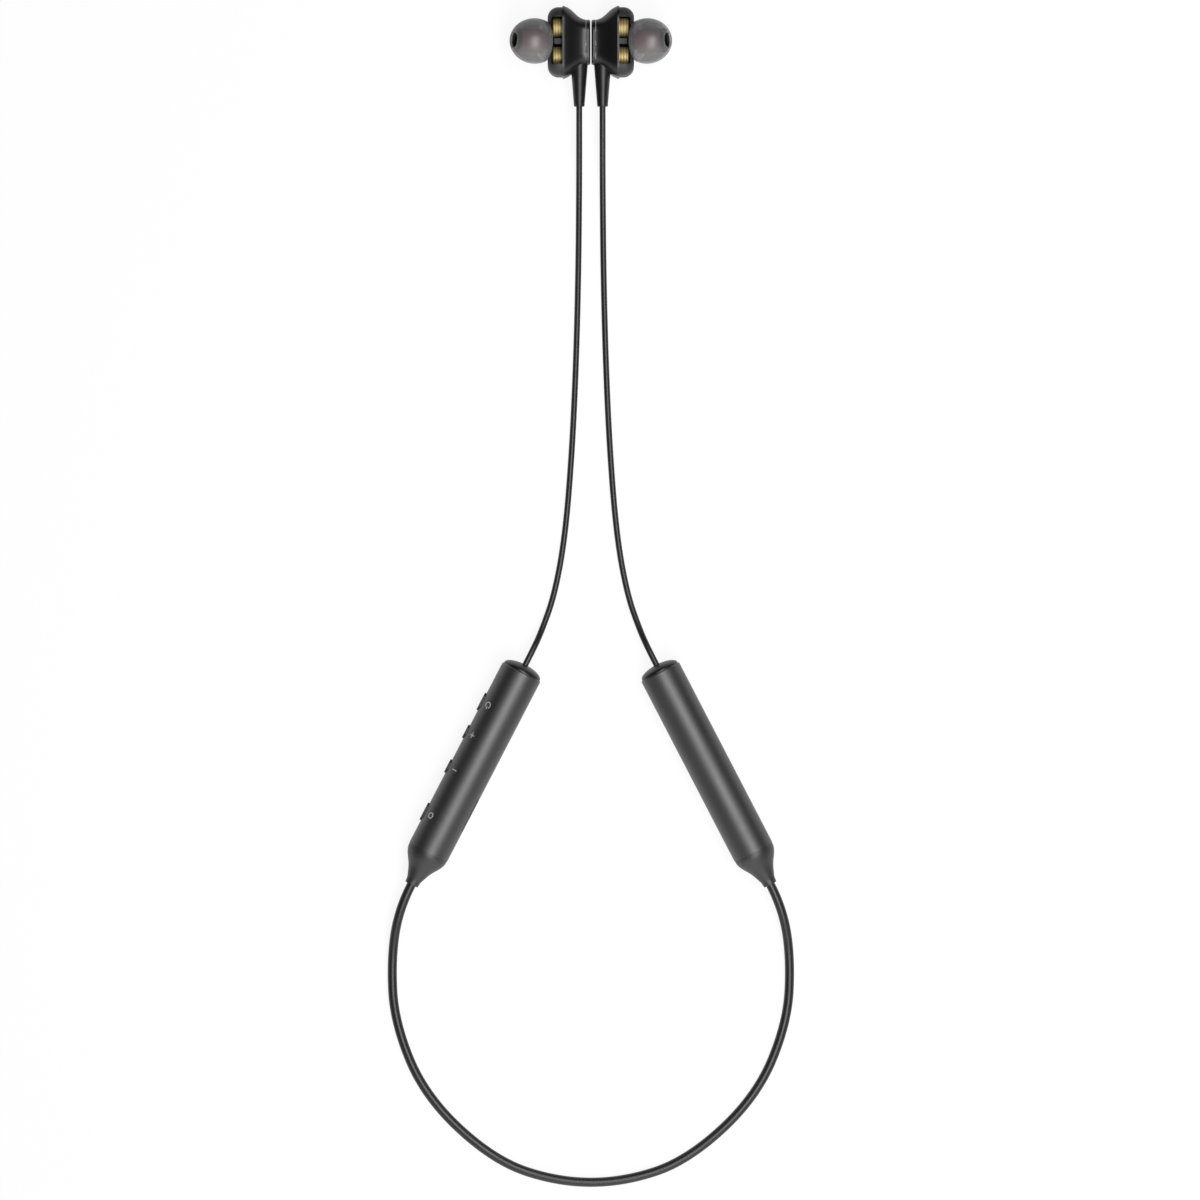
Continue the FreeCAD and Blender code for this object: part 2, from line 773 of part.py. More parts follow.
def rear_shell():
    """A shell that flares from a small back to the rim, hollow behind the driver carrier."""
    outside = Part.makeLoft([rounded_outline(*row) for row in rear_shell_outline], True)
    rim_back = rear_shell_outline[-1][0]
    outside = outside.fuse(rounded_plate((rim_back, rim_front), *rim_outline(0)))
    hollow_rows = [
        (x + shell_wall, height - shell_wall, depth - shell_wall, corner - shell_wall)
        for x, height, depth, corner in rear_shell_outline if x + shell_wall < carrier_back - shell_wall / 4
    ]
    last_x, *last_outline = hollow_rows[-1]
    hollow = Part.makeLoft([rounded_outline(*row) for row in hollow_rows], True)
    neck = rounded_plate((last_x, carrier_back), *last_outline)
    seat = rounded_plate((carrier_back, rim_front), *rim_outline(shell_wall))
    magnet_hole = rod(magnet_radius + small_fit, Vector(0, 0, 0), Vector(hollow_rows[0][0], 0, 0))
    shell = outside.cut(hollow.fuse([neck, seat])).cut(magnet_hole)
    return shell.cut(relief_cone(small_fit)).removeSplitter()


def back_cap():
    _, *outline = rear_shell_outline[0]
    cap = rounded_plate((0, back_cap_depth), *outline)
    cap = cap.makeFillet(back_cap_edge, flat_edges(cap, "x", 0))
    pocket = rod(magnet_radius + small_fit, Vector(back_cap_skin, 0, 0), Vector(back_cap_depth, 0, 0))
    return cap.cut(pocket).cut(relief_cone(small_fit))


def magnet():
    return rod(magnet_radius, Vector(back_cap_skin, 0, 0), Vector(back_cap_skin + magnet_thickness, 0, 0))


# ---- Earbud: front housing with its nozzle ----
def nozzle():
    """The nozzle with the lip that holds the ear tip, about X from its root."""
    lip_start = nozzle_length - nozzle_lip_length
    return turned_about_x([
        (-front_depth, 0), (-front_depth, nozzle_radius),
        (lip_start, nozzle_radius), (lip_start + nozzle_lip_bevel, nozzle_lip_radius),
        (nozzle_length - nozzle_lip_bevel, nozzle_lip_radius),
        (nozzle_length, nozzle_lip_radius - nozzle_lip_bevel), (nozzle_length, 0),
    ])


def nozzle_bore():
    """The nozzle's bore, with a ledge at its mouth for the mesh."""
    ledge = nozzle_length - mesh_thickness
    mesh_radius = nozzle_bore_radius + mesh_ledge
    return turned_about_x([
        (-front_depth, 0), (-front_depth, nozzle_bore_radius), (ledge, nozzle_bore_radius),
        (ledge, mesh_radius), (nozzle_length + 1, mesh_radius), (nozzle_length + 1, 0),
    ])


def window_cut():
    """The side window, open to the joint with the rear shell."""
    window_end = rim_front + window_depth
    heights = centred(0, 2 * window_half_height)
    cut = block((rim_front, window_end), heights, (window_floor, 2 * rim_half_depth))
    corners = [edge for edge in flat_edges(cut, "x", window_end) if edge.BoundBox.ZLength > rim_half_depth / 2]
    return cut.makeFillet(window_corner, corners)


def front_housing():
    body = rounded_plate((rim_front, front_end), *rim_outline(front_step))
    body = body.makeFillet(front_round, flat_edges(body, "x", front_end))
    body = body.fuse(moved(nozzle(), nozzle_placement()))
    pocket_end = front_end - front_wall
    pocket = rounded_plate((rim_front, pocket_end), *rim_outline(front_step + front_wall))
    pocket = pocket.makeFillet(pocket_round, flat_edges(pocket, "x", pocket_end))
    behind = block((0, rim_front), centred(0, 4 * rim_half_height), centred(0, 4 * rim_half_depth))
    body = body.cut(behind).cut(pocket).cut(window_cut())
    return body.cut(moved(nozzle_bore(), nozzle_placement())).removeSplitter()


def nozzle_mesh():
    radius = nozzle_bore_radius + mesh_ledge - small_fit
    disc = rod(radius, Vector(nozzle_length - mesh_thickness, 0, 0), Vector(nozzle_length, 0, 0))
    return moved(disc, nozzle_placement())


# ---- Earbud: two drivers on their carrier ----
def driver_tail_hole(y):
    return rod(driver_tail_radius + small_fit, Vector(0, y, driver_rise), Vector(front_end, y, driver_rise))


def driver_carrier():
    """A plate that closes the rear shell, with a spine that stands between the drivers."""
    plate = rounded_plate((carrier_back, carrier_front), *rim_outline(shell_wall + seat_gap))
    spine_x = (carrier_front - carrier_thickness / 2, carrier_front + spine_depth)
    spine = block(spine_x, centred(0, 2 * spine_half_height), (-spine_bottom, spine_top))
    plate = plate.fuse(spine)
    for y in centred(0, driver_spacing):
        plate = plate.cut(driver_tail_hole(y))
    return plate.removeSplitter()


def driver(y):
    """A small brass can with grooves round it and a sound port in front, on a narrower tail."""
    outline = [
        (-driver_tail_length, 0), (-driver_tail_length, driver_tail_radius),
        (0, driver_tail_radius), (0, driver_radius),
    ]
    groove_radius = driver_radius - driver_groove
    for start in driver_groove_places:
        end = start + driver_groove_width
        outline += [(start, driver_radius), (start, groove_radius)]
        outline += [(end, groove_radius), (end, driver_radius)]
    outline += [
        (driver_length - driver_front_bevel, driver_radius),
        (driver_length, driver_radius - driver_front_bevel),
        (driver_length, driver_port_radius), (driver_length - driver_port_depth, driver_port_radius),
        (driver_length - driver_port_depth, 0),
    ]
    place = Placement(Vector(carrier_front, y, driver_rise), Rotation())
    return moved(turned_about_x(outline), place)


# ---- Ear tip ----
def tip_oval(length, thinner):
    """An oval about the tip's widest place, reaching forwards for a positive length."""
    middle = Vector(tip_middle, 0, 0)
    reach = math.copysign(abs(length) - thinner, length)
    return Part.Ellipse(middle + Vector(reach, 0, 0), middle + Vector(0, tip_radius - thinner, 0), middle)


def skirt_arc(length, thinner, end_angle):
    """The oval from an angle off its own nose or tail to the widest place."""
    return Part.ArcOfEllipse(tip_oval(length, thinner), end_angle, math.pi / 2)


def lip_angle():
    return math.asin(tip_lip_radius / tip_radius)


def core_angle():
    """Where the inside of the skirt meets the core, as an angle of the oval."""
    return math.asin(core_radius / (tip_radius - skirt_thickness))


def core_front():
    return tip_middle + (tip_nose - skirt_thickness) * math.cos(core_angle())


def ear_tip():
    """An umbrella of soft silicone: an outer oval skin that opens backwards round the core."""
    outer_tail = skirt_arc(-tip_tail, 0, math.acos(skirt_reach / tip_tail))
    outer_nose = skirt_arc(tip_nose, 0, lip_angle())
    inner_nose = skirt_arc(tip_nose, skirt_thickness, core_angle())
    inner_tail = skirt_arc(-tip_tail, skirt_thickness, math.acos(skirt_reach / (tip_tail - skirt_thickness)))
    lip_middle = (tip_mouth_radius + tip_lip_radius) / 2
    front = outer_nose.StartPoint.x
    mouth = [
        outer_nose.StartPoint,
        Vector(front, tip_mouth_radius, 0),
        Vector(core_front(), tip_mouth_radius, 0),
        inner_nose.StartPoint,
    ]
    outline = [outer_tail.toShape(), outer_nose.toShape()] + lines(mouth)
    outline += [inner_nose.toShape(), inner_tail.toShape()]
    outline += lines([inner_tail.StartPoint, outer_tail.StartPoint])
    tip = turned(outline, Vector(1, 0, 0))
    lip = [edge for edge in flat_edges(tip, "x", front) if edge.Curve.Radius > lip_middle]
    return moved(tip.makeFillet(tip_lip_round, lip), nozzle_placement())


def tip_core():
    """The tip's firmer sleeve, which slides on the nozzle."""
    bore = nozzle_lip_radius + core_bore_gap
    sleeve = turned_about_x([
        (core_start, bore), (core_start, core_radius), (core_front(), core_radius), (core_front(), bore),
    ])
    return moved(sleeve, nozzle_placement())


def add_bud_pieces(side_name, side):
    pieces = {
        "rear_shell": rear_shell(),
        "back_cap": back_cap(),
        "magnet": magnet(),
        "front_housing": front_housing(),
        "nozzle_mesh": nozzle_mesh(),
        "driver_carrier": driver_carrier(),
        "upper_driver": driver(driver_spacing / 2),
        "lower_driver": driver(-driver_spacing / 2),
        "ear_tip": ear_tip(),
        "tip_core": tip_core(),
        "strain_relief": strain_relief(),
    }
    for name, shape in pieces.items():
        add(f"{side_name}_{name}", shape, bud_placement(), side)


# ---- Cables ----
def bud_cable():
    """Leaves the strain relief and the end cap along their axes, and lies flat in between."""
    leaving = [Vector(relief_place, -relief_end - straight, 0) for straight in (0, relief_straight)]
    arriving = [Vector(0, 0, cable_mouth_floor() - straight) for straight in (cap_straight, 0)]
    points = [bud_placement().multVec(point) for point in leaving]
    points += [Vector(*point) for point in bud_cable_route]
    points += [barrel_placement().multVec(point) for point in arriving]
    return cord("bud cable", points, bud_cable_diameter)


def neck_cable():
    """Leaves each boot along its axis and lies flat round the loop."""
    leaving = [Vector(0, 0, boot_end + straight) for straight in (0, neck_cable_straight)]
    half = [barrel_placement().multVec(point) for point in leaving]
    half += [Vector(*point) for point in neck_cable_route]
    other_half = [Vector(-point.x, point.y, point.z) for point in reversed(half)]
    return cord("neck cable", half + other_half, neck_cable_diameter)


def add_cables():
    still = Placement()
    cable = bud_cable()
    add("right_bud_cable", cable, still, right)
    add("left_bud_cable", cable, still, left)
    add("neck_cable", neck_cable(), still, right)


add_control_pieces()
add_battery_pieces()
for name_of_side, side_sign in (("left", left), ("right", right)):
    add_barrel_ends(name_of_side, side_sign)
    add_bud_pieces(name_of_side, side_sign)
add_cables()

os.makedirs("parts", exist_ok=True)
for part_name, part_shape in parts.items():
    part_shape.exportStep(f"parts/{part_name}.step")
print(len(parts), "pieces written")
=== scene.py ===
import math

import bpy
from mathutils import Matrix, Vector


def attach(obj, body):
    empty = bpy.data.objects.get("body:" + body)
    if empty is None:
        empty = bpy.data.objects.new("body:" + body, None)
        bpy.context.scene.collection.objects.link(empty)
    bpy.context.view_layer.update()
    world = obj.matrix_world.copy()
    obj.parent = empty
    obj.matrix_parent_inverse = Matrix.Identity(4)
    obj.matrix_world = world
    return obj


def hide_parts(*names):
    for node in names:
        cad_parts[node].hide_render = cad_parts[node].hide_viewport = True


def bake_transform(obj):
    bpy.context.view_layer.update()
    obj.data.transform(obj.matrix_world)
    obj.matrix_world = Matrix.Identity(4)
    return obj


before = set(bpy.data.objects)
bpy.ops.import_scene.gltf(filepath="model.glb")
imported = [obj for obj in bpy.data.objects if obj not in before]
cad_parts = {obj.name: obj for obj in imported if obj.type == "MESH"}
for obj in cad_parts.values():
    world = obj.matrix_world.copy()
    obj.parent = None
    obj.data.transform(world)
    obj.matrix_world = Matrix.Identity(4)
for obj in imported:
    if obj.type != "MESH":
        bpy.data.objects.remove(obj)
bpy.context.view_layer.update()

mm = 0.001
sideSigns = {"left": -1, "right": 1}
print("frame loaded")


def placed(name, data):
    item = bpy.data.objects.new(name, data)
    bpy.context.scene.collection.objects.link(item)
    return item


# straight above, as in the photograph; millimetres, but for the clip distances in metres
shot = {
    "centreX": 2.46, "centreY": -41.25, "level": 6.0, "width": 324.0,
    "lens": 150.0, "clipStart": 0.1, "clipEnd": 10.0,
}


def placeCamera():
    lens = bpy.data.cameras.new("topCamera")
    lens.lens = shot["lens"]
    lens.clip_start, lens.clip_end = shot["clipStart"], shot["clipEnd"]
    distance = shot["width"] * lens.lens / lens.sensor_width
    camera = placed("topCamera", lens)
    camera.location = Vector((shot["centreX"], shot["centreY"], shot["level"] + distance)) * mm
    bpy.context.scene.camera = camera


placeCamera()
print("camera placed")


def newPiece(name, vertices, faces, sharpAngle=40):
    # vertices in millimetres; edges sharper than the angle, in degrees, stay crisp
    mesh = bpy.data.meshes.new(name)
    mesh.from_pydata([Vector(v) * mm for v in vertices], [], faces)
    mesh.validate()
    mesh.shade_smooth()
    mesh.set_sharp_from_angle(angle=math.radians(sharpAngle))
    return placed(name, mesh)


def smoothLine(points):
    # points along the cord's own NURBS line, in millimetres
    curve = bpy.data.curves.new("line", "CURVE")
    curve.dimensions = "3D"
    spline = curve.splines.new("NURBS")
    spline.points.add(len(points) - 1)
    for knot, point in zip(spline.points, points):
        knot.co = (*point, 1)
    spline.order_u = 3
    spline.use_endpoint_u = True
    spline.resolution_u = 16
    holder = placed("line", curve)
    bpy.context.view_layer.update()
    mesh = bpy.data.meshes.new_from_object(holder)
    line = [v.co.copy() for v in mesh.vertices]
    bpy.data.objects.remove(holder)
    bpy.data.curves.remove(curve)
    bpy.data.meshes.remove(mesh)
    return line


def tube(name, line, radius, around=24):
    # rings that turn no more than the line does
    vertices = []
    side = (line[1] - line[0]).normalized().orthogonal().normalized()
    for i, point in enumerate(line):
        ahead = line[min(i + 1, len(line) - 1)] - line[max(i - 1, 0)]
        ahead.normalize()
        side = (side - ahead * side.dot(ahead)).normalized()
        up = ahead.cross(side)
        for k in range(around):
            turn = 2 * math.pi * k / around
            vertices.append(point + (side * math.cos(turn) + up * math.sin(turn)) * radius)
    faces = [list(range(around))[::-1], list(range(len(vertices) - around, len(vertices)))]
    for i in range(len(line) - 1):
        for k in range(around):
            a, b = i * around + k, i * around + (k + 1) % around
            faces.append((a, b, b + around, a + around))
    return newPiece(name, vertices, faces, sharpAngle=60)


def turned(name, outline, placement, around=96, mirror=1):
    # a closed outline of (along, radius) turned about the placement's X axis
    vertices, faces = [], []
    for k in range(around):
        turn = 2 * math.pi * k / around
        for along, radius in outline:
            point = placement @ Vector((along, radius * math.cos(turn), radius * math.sin(turn)))
            vertices.append((point.x * mirror, point.y, point.z))
    n = len(outline)
    for k in range(around):
        for i in range(n):
            a, b = k * n + i, k * n + (i + 1) % n
            c, d = (k + 1) % around * n + (i + 1) % n, (k + 1) % around * n + i
            faces.append((a, b, c, d) if mirror > 0 else (d, c, b, a))
    return newPiece(name, vertices, faces)


# the right half's points; the left half is its mirror image
neckCord = {
    "diameter": 2.5, "length": 224.6,
    "half": [
        (48.452, -118.047, 5.75), (51.765, -124.44, 5.75), (54.1, -138.0, 1.4),
        (53.3, -155.6, 1.3), (44.9, -175.9, 1.32), (26.2, -193.2, 1.3), (8.6, -199.0, 1.34),
    ],
}
# the right earbud's points; bendFrom and bendTo are two places along Y
budCord = {
    "diameter": 1.65, "length": 154.2, "bendFrom": -40.0, "bendTo": 88.0,
    "points": [
        (3.15, 91.97, 6.2), (3.15, 84.37, 6.2), (3.18, 71.0, 1.1), (3.4, 47.0, 0.9),
        (4.05, 22.0, 0.92), (5.15, -1.5, 0.9), (7.0, -24.2, 0.93), (9.85, -39.8, 1.0),
        (13.2, -49.3, 2.4), (15.554, -54.581, 5.75), (17.947, -59.198, 5.75),
    ],
}


def declareCord(node):
    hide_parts(node)


def makeNeckCord():
    half = neckCord["half"]
    points = half + [(-x, y, z) for x, y, z in reversed(half)]
    line = smoothLine(points)
    piece = tube("neckCord", line, neckCord["diameter"] / 2)
    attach(piece, "modules")
    declareCord("neck_cable")
    return piece


def makeBudCord(side):
    points = [(sideSigns[side] * x, y, z) for x, y, z in budCord["points"]]
    line = smoothLine(points)
    piece = tube(side + "BudCord", line, budCord["diameter"] / 2)
    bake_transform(piece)
    declareCord(side + "_bud_cable")
    return piece


cordPieces = [makeNeckCord(), makeBudCord("left"), makeBudCord("right")]
print("cords made")

# the right nozzle's root and its tilt upwards, in degrees
nozzle = {"root": (11.65, 109.27, 8.0), "tilt": 27.0}
# lengths along the nozzle are from its root; the bead's two angles are in degrees
tip = {
    "radius": 6.1, "middle": 3.95, "nose": 6.85, "tail": 7.0, "reach": 2.8, "skin": 0.5,
    "mouth": 1.65, "lip": 2.3, "bead": 0.3, "beadFrom": 40, "beadTo": 180,
    "coreRadius": 3.25, "coreEdge": 2.9,
    "tailSteps": 12, "noseSteps": 22, "beadSteps": 8, "insideSteps": 16,
}


def nozzlePlacement():
    tilted = Matrix.Rotation(math.radians(-nozzle["tilt"]), 4, "Y")
    return Matrix.Translation(nozzle["root"]) @ tilted


def ovalRun(length, thinner, firstAngle, lastAngle, steps):
    # (along, radius) on the tip's oval between two angles from its nose, in radians
    reach = math.copysign(abs(length) - thinner, length)
    radius = tip["radius"] - thinner
    run = []
    for i in range(steps + 1):
        angle = firstAngle + (lastAngle - firstAngle) * i / steps
        run.append((tip["middle"] + reach * math.cos(angle), radius * math.sin(angle)))
    return run


def roundRun(centre, radius, firstTurn, lastTurn, steps):
    run = []
    for i in range(steps + 1):
        turn = math.radians(firstTurn + (lastTurn - firstTurn) * i / steps)
        run.append((centre[0] + radius * math.cos(turn), centre[1] + radius * math.sin(turn)))
    return run


def makeEarTip(side):
    quarter = math.pi / 2
    skin, nose, tail, mouth, bead = [tip[key] for key in ("skin", "nose", "tail", "mouth", "bead")]
    lipAngle = math.asin(tip["lip"] / tip["radius"])
    coreAngle = math.asin(tip["coreRadius"] / (tip["radius"] - skin))
    openOutside = math.acos(tip["reach"] / tail)
    openInside = math.acos(tip["reach"] / (tail - skin))
    outline = ovalRun(-tail, 0, openOutside, quarter, tip["tailSteps"])[:-1]
    outline += ovalRun(nose, 0, quarter, lipAngle, tip["noseSteps"])
    beadCentre = (outline[-1][0] - bead, mouth + bead)
    outline += roundRun(beadCentre, bead, tip["beadFrom"], tip["beadTo"], tip["beadSteps"])
    mouthStart = len(outline) - 1
    outline.append((tip["middle"] + (nose - skin) * math.cos(coreAngle), mouth))
    outline += ovalRun(nose, skin, coreAngle, quarter, tip["insideSteps"])[:-1]
    outline += ovalRun(-tail, skin, quarter, openInside, tip["tailSteps"])
    piece = turned(side + "EarTip", outline, nozzlePlacement(), mirror=sideSigns[side])
    # the mouth's wall has a finish of its own, near black: painted shade of the dark tunnel into
    # the tip
    piece.data.materials.append(None)
    piece.data.materials.append(None)
    for i, face in enumerate(piece.data.polygons):
        face.material_index = int(i % len(outline) in (mouthStart, mouthStart + 1))
    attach(piece, side + "_tip")
    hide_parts(side + "_ear_tip")
    return piece


tipPieces = {side: makeEarTip(side) for side in sideSigns}
print("ear tips made")

# print beside the buttons, wrapped on the left module; lean and turn are in degrees
marks = {
    "rimX": 18.7, "rimY": -60.65, "axisZ": 5.75, "lean": 27.4, "radius": 5.75, "turn": 47.0,
    "thickness": 0.02, "stroke": 0.26, "barSteps": 6, "ringSteps": 28,
    "power": 12.1, "powerRadius": 0.85, "powerRing": (38, 322), "powerBar": 0.95, "powerRise": 0.7,
    "next": 21.2, "previous": 31.7, "signLength": 1.6,
    "mode": 45.5, "modeRadius": 0.75, "modeRing": (0, 360),
}


def onModule(across, along, height):
    # across the print, along the module, and above the left module's skin
    turn = math.radians(marks["turn"]) + across / marks["radius"]
    radius = marks["radius"] + height
    outwards, up = radius * math.cos(turn), radius * math.sin(turn)
    lean = math.radians(marks["lean"])
    x = marks["rimX"] + outwards * math.cos(lean) + along * math.sin(lean)
    y = marks["rimY"] + outwards * math.sin(lean) - along * math.cos(lean)
    return (-x, y, marks["axisZ"] + up)


def printed(name, strips):
    # each strip is two equally long rows of (across, along), joined into a thin raised band
    vertices, faces = [], []
    for first, second, closed in strips:
        start, n = len(vertices), len(first)
        for height in (-marks["thickness"], marks["thickness"]):
            for row in (first, second):
                vertices += [onModule(a, b, height) for a, b in row]
        low, lowOther, high, highOther = [start + n * i for i in range(4)]
        for i in range(n if closed else n - 1):
            j = (i + 1) % n
            faces.append((high + i, high + j, highOther + j, highOther + i))
            faces.append((low + i, lowOther + i, lowOther + j, low + j))
            faces.append((low + i, low + j, high + j, high + i))
            faces.append((lowOther + i, highOther + i, highOther + j, lowOther + j))
        if not closed:
            for i in (0, n - 1):
                faces.append((low + i, high + i, highOther + i, lowOther + i))
    piece = newPiece(name, vertices, faces, sharpAngle=30)
    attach(piece, "modules")
    return piece


def bar(middle, length, lengthwise=False):
    # a straight stroke, across the module or along it
    half, stroke, steps = length / 2, marks["stroke"] / 2, marks["barSteps"]
    rows = ([], [])
    for i in range(steps + 1):
        run = -half + length * i / steps
        for row, offset in zip(rows, (-stroke, stroke)):
            row.append((offset, middle + run) if lengthwise else (run, middle + offset))
    return rows[0], rows[1], False


def ring(middle, radius, firstTurn, lastTurn):
    stroke, steps = marks["stroke"] / 2, marks["ringSteps"]
    closed = lastTurn - firstTurn >= 360
    rows = ([], [])
    for i in range(steps if closed else steps + 1):
        turn = math.radians(firstTurn + (lastTurn - firstTurn) * i / steps)
        for row, reach in zip(rows, (radius - stroke, radius + stroke)):
            row.append((reach * math.sin(turn), middle + reach * math.cos(turn)))
    return rows[0], rows[1], closed


markPieces = [
    printed("powerMark", [
        ring(marks["power"], marks["powerRadius"], *marks["powerRing"]),
        bar(marks["power"] + marks["powerRise"], marks["powerBar"], lengthwise=True),
    ]),
    printed("plusMark", [
        bar(marks["next"], marks["signLength"]),
        bar(marks["next"], marks["signLength"], lengthwise=True),
    ]),
    printed("minusMark", [bar(marks["previous"], marks["signLength"])]),
    printed("modeMark", [ring(marks["mode"], marks["modeRadius"], *marks["modeRing"])]),
]
print("marks printed")


class Wire:
    # one output socket, with arithmetic that adds Math nodes
    def __init__(self, finish, socket):
        self.finish, self.socket = finish, socket

    def __add__(self, other):
        return self.finish.mathNode("ADD", self, other)

    def __radd__(self, other):
        return self.finish.mathNode("ADD", other, self)

    def __sub__(self, other):
        return self.finish.mathNode("SUBTRACT", self, other)

    def __rsub__(self, other):
        return self.finish.mathNode("SUBTRACT", other, self)

    def __mul__(self, other):
        return self.finish.mathNode("MULTIPLY", self, other)

    def __rmul__(self, other):
        return self.finish.mathNode("MULTIPLY", other, self)


class Finish:
    # the nodes of a material, or of the world
    def __init__(self, name, library=bpy.data.materials):
        self.owner = library.new(name)
        self.owner.use_nodes = True
        self.tree = self.owner.node_tree
        self.tree.nodes.clear()

    def node(self, kind, settings=None, inputs=None, output=0):
        made = self.tree.nodes.new(kind)
        for key, value in (settings or {}).items():
            setattr(made, key, value)
        for key, value in (inputs or {}).items():
            if isinstance(value, Wire):
                self.tree.links.new(value.socket, made.inputs[key])
            else:
                made.inputs[key].default_value = value
        return Wire(self, made.outputs[output])

    def mathNode(self, operation, *values, clamp=False):
        settings = {"operation": operation, "use_clamp": clamp}
        return self.node("ShaderNodeMath", settings, dict(enumerate(values)))

    def vectorNode(self, operation, *values, output=0):
        settings = {"operation": operation}
        return self.node("ShaderNodeVectorMath", settings, dict(enumerate(values)), output)

    def place(self):
        return self.node("ShaderNodeTexCoord", output="Object")

    def rays(self, *outputs):
        return [self.node("ShaderNodeLightPath", output=output) for output in outputs]

    def noise(self, scale, detail=3.0, roughness=0.5, place=None):
        # scale is in patches per millimetre
        return self.node("ShaderNodeTexNoise", {"noise_dimensions": "3D"}, {
            "Vector": place or self.place(), "Scale": scale / mm,
            "Detail": detail, "Roughness": roughness,
        })

    def bands(self, direction, pitch):
        # pitch is in millimetres; a wave texture of scale 1 has a band every pi / 10
        return self.node(
            "ShaderNodeTexWave", {"wave_type": "BANDS", "bands_direction": direction},
            {"Vector": self.place(), "Scale": math.pi / 10 / (pitch * mm)}, output="Fac",
        )

    def blended(self, factor, first, second):
        # between two colours, each of them plain or made by nodes
        ends = [color if isinstance(color, Wire) else (*color, 1) for color in (first, second)]
        inputs = {"Factor": factor, 6: ends[0], 7: ends[1]}  # 6 and 7 are the colours A and B
        return self.node("ShaderNodeMix", {"data_type": "RGBA"}, inputs, output=2)

    def bump(self, height, strength, distance):
        inputs = {"Height": height, "Strength": strength, "Distance": distance * mm}
        return self.node("ShaderNodeBump", None, inputs)

    def show(self, shader, end="ShaderNodeOutputMaterial"):
        self.tree.links.new(shader.socket, self.tree.nodes.new(end).inputs["Surface"])
        return self.owner

    def surface(self, inputs):
        return self.show(self.node("ShaderNodeBsdfPrincipled", None, inputs))


# slow changes in patches per millimetre, and how far each change moves the roughness
slow = {"shade": 0.12, "stain": 0.9, "haze": 0.5}
gloss = {"shade": 0.1, "grain": 0.06, "middle": 0.08, "metal": 0.15, "haze": 0.08}


def moulded(name, color, lighter, rough, grain, relief, level=0.5, coat=0.0):
    # moulded plastic or rubber: spark-eroded grain, and slow changes of shade and gloss
    finish = Finish(name)
    patches = finish.noise(slow["shade"], detail=4.0)
    fine = finish.noise(grain, roughness=0.6)
    return finish.surface({
        "Base Color": finish.blended(patches, color, lighter),
        "Roughness": patches * gloss["shade"] + fine * gloss["grain"] + (rough - gloss["middle"]),
        "Specular IOR Level": level,
        "Coat Weight": coat, "Coat Roughness": rough,
        "Normal": finish.bump(fine, strength=0.6, distance=relief),
    })


def ribbedBrass(name, color, grooveShade, rough, pitch, metallic=0.6):
    # fine ribs turned round the drivers' sides, with painted shade in the grooves
    finish = Finish(name)
    ribs = finish.bands("X", pitch)
    stains = finish.noise(slow["stain"], detail=4.0)
    return finish.surface({
        # the darker colour in the grooves is painted shade; the stains are the brass's own uneven
        # tone
        "Base Color": finish.blended(ribs * 0.7 + stains * 0.3, grooveShade, color),
        "Metallic": metallic,
        "Roughness": rough + (stains - 0.5) * gloss["metal"],
        "Normal": finish.bump(ribs, strength=0.6, distance=0.04),
    })


def metal(name, color, darker, rough, grain, relief, stretch=(6.0, 0.25, 0.25)):
    # plated or drawn metal: faint stains, and lines drawn out along Y and Z
    finish = Finish(name)
    stains = finish.noise(slow["stain"], detail=4.0)
    drawn = finish.node("ShaderNodeMapping", None, {"Vector": finish.place(), "Scale": stretch})
    lines = finish.noise(grain, detail=2.0, place=drawn)
    return finish.surface({
        "Base Color": finish.blended(stains, color, darker),
        "Metallic": 1.0,
        "Roughness": rough + (lines - 0.5) * gloss["metal"],
        "Normal": finish.bump(lines, strength=0.5, distance=relief),
    })


def silicone(name, color, rough, least, most, level):
    # smoky silicone: clearer where it is looked at square on, denser towards its edges
    finish = Finish(name)
    facing = finish.node("ShaderNodeLayerWeight", None, {"Blend": 0.4}, output="Facing")
    haze = finish.noise(slow["haze"])
    return finish.surface({
        "Base Color": (*color, 1),
        "Roughness": rough + haze * gloss["haze"],
        "Specular IOR Level": level,
        "Alpha": facing * (most - least) + haze * 0.04 + least,
        "Normal": finish.bump(haze, strength=0.3, distance=0.02),
    })


def tintedCore(name, side, color, lighter, boreShade, rough=0.45, grain=4.0):
    # tinted silicone outside, and painted shade in its bore round the nozzle's axis, where it is
    # coloured near black
    finish = Finish(name)
    x, y, z = nozzle["root"]
    tilt, sign = math.radians(nozzle["tilt"]), sideSigns[side]
    root = (sign * x * mm, y * mm, z * mm)
    axis = (sign * math.cos(tilt), 0, math.sin(tilt))
    fromRoot = finish.vectorNode("SUBTRACT", finish.place(), root)
    offAxis = finish.vectorNode("CROSS_PRODUCT", fromRoot, axis)
    radius = finish.vectorNode("LENGTH", offAxis, output="Value")
    # painted shade: within this radius of the nozzle's axis the core is coloured near black, as
    # its bore lies in shade
    inside = finish.mathNode("LESS_THAN", radius, tip["coreEdge"] * mm)
    patches = finish.noise(slow["shade"], detail=4.0)
    fine = finish.noise(grain, roughness=0.6)
    return finish.surface({
        "Base Color": finish.blended(inside, finish.blended(patches, color, lighter), boreShade),
        "Roughness": patches * gloss["shade"] + rough,
        "Specular IOR Level": 0.3,
        "Normal": finish.bump(fine, strength=0.6, distance=0.01),
    })


def wovenWire(name, color, holeShade, rough, pitch):
    # wire gauze: two crossed sets of waves, with painted shade in the holes, where the dark behind
    # the gauze shows
    finish = Finish(name)
    weave = finish.mathNode("MAXIMUM", finish.bands("Y", pitch), finish.bands("Z", pitch))
    return finish.surface({
        "Base Color": finish.blended(weave, holeShade, color),
        "Metallic": 1.0,
        "Roughness": rough,
        "Normal": finish.bump(weave, strength=0.8, distance=0.05),
    })


